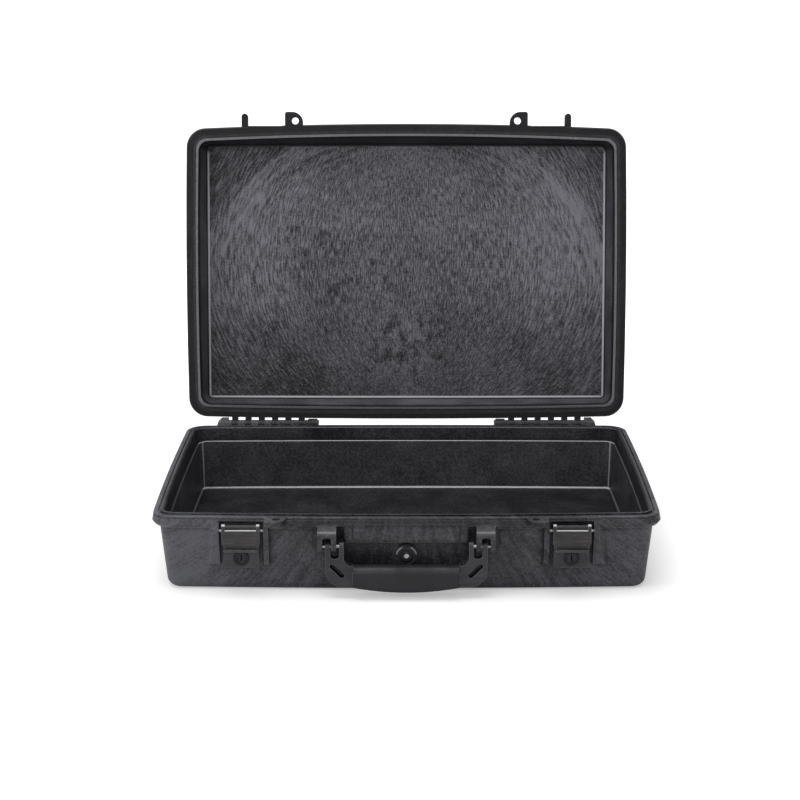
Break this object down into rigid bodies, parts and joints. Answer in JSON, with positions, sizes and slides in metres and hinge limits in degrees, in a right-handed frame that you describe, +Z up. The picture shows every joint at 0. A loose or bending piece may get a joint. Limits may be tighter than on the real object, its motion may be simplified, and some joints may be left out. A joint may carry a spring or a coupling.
{
  "type": "laptop hard case",
  "caption": "Moulded hard case with a hinged lid, locking draw latches, padlock eyes, a swinging carry handle, a pressure vent and a rim seal.",
  "frame": {"origin": "centre of the flat underside of the base", "axes": "+Z up, +X to the right as seen from the front, -Y towards the latches and the handle, with the lid standing open"},
  "size_m": [0.5078, 0.4556, 0.432],
  "materials": {
    "shell_plastic": "moulded satin",
    "fitting_plastic": "fine matt",
    "grip_rubber": "soft matt",
    "seal_rubber": "smooth",
    "pin_steel": "ground",
    "lock_metal": "plated",
    "vent_membrane": "porous sheet"
  },
  "bodies": {
    "base": {"base_shell": "shell_plastic", "vent_body": "fitting_plastic", "vent_o_ring": "seal_rubber", "vent_membrane": "vent_membrane", "vent_cap": "fitting_plastic", "vent_nut": "fitting_plastic", "hinge_pin_left": "pin_steel", "latch_pin_left": "pin_steel", "handle_pin_left": "pin_steel", "hinge_pin_right": "pin_steel", "latch_pin_right": "pin_steel", "handle_pin_right": "pin_steel"},
    "lid": {"lid_shell": "shell_plastic", "lid_gasket": "seal_rubber"},
    "handle": {"handle_frame": "fitting_plastic", "handle_grip": "grip_rubber"},
    "lever_left": {"latch_lever_left": "fitting_plastic", "claw_pin_left": "pin_steel", "lock_barrel_left": "lock_metal", "lock_nut_left": "pin_steel"},
    "claw_left": {"latch_claw_left": "fitting_plastic"},
    "plug_left": {"lock_plug_left": "lock_metal", "lock_cam_left": "pin_steel"},
    "lever_right": {"latch_lever_right": "fitting_plastic", "claw_pin_right": "pin_steel", "lock_barrel_right": "lock_metal", "lock_nut_right": "pin_steel"},
    "claw_right": {"latch_claw_right": "fitting_plastic"},
    "plug_right": {"lock_plug_right": "lock_metal", "lock_cam_right": "pin_steel"}
  },
  "joints": [
    {"name": "lid_hinge", "type": "hinge", "parent": "base", "child": "lid", "pos_m": [0, 0.1745, 0.08], "axis": [1, 0, 0], "range_deg": [0, 100]},
    {"name": "handle_swing", "type": "hinge", "parent": "base", "child": "handle", "pos_m": [0, -0.17597, 0.053], "axis": [-1, 0, 0], "range_deg": [0, 95]},
    {"name": "lever_pivot_left", "type": "hinge", "parent": "base", "child": "lever_left", "pos_m": [-0.1625, -0.16628, 0.066], "axis": [-1, 0, 0], "range_deg": [0, 70]},
    {"name": "claw_pivot_left", "type": "hinge", "parent": "lever_left", "child": "claw_left", "pos_m": [-0.1625, -0.17048, 0.071], "axis": [1, 0, 0], "range_deg": [-180, 0]},
    {"name": "key_turn_left", "type": "hinge", "parent": "lever_left", "child": "plug_left", "pos_m": [-0.1625, -0.17018, 0.039], "axis": [0, 1, 0], "range_deg": [0, 90]},
    {"name": "lever_pivot_right", "type": "hinge", "parent": "base", "child": "lever_right", "pos_m": [0.1625, -0.16628, 0.066], "axis": [-1, 0, 0], "range_deg": [0, 70]},
    {"name": "claw_pivot_right", "type": "hinge", "parent": "lever_right", "child": "claw_right", "pos_m": [0.1625, -0.17048, 0.071], "axis": [1, 0, 0], "range_deg": [-180, 0]},
    {"name": "key_turn_right", "type": "hinge", "parent": "lever_right", "child": "plug_right", "pos_m": [0.1625, -0.17018, 0.039], "axis": [0, 1, 0], "range_deg": [0, 90]}
  ]
}
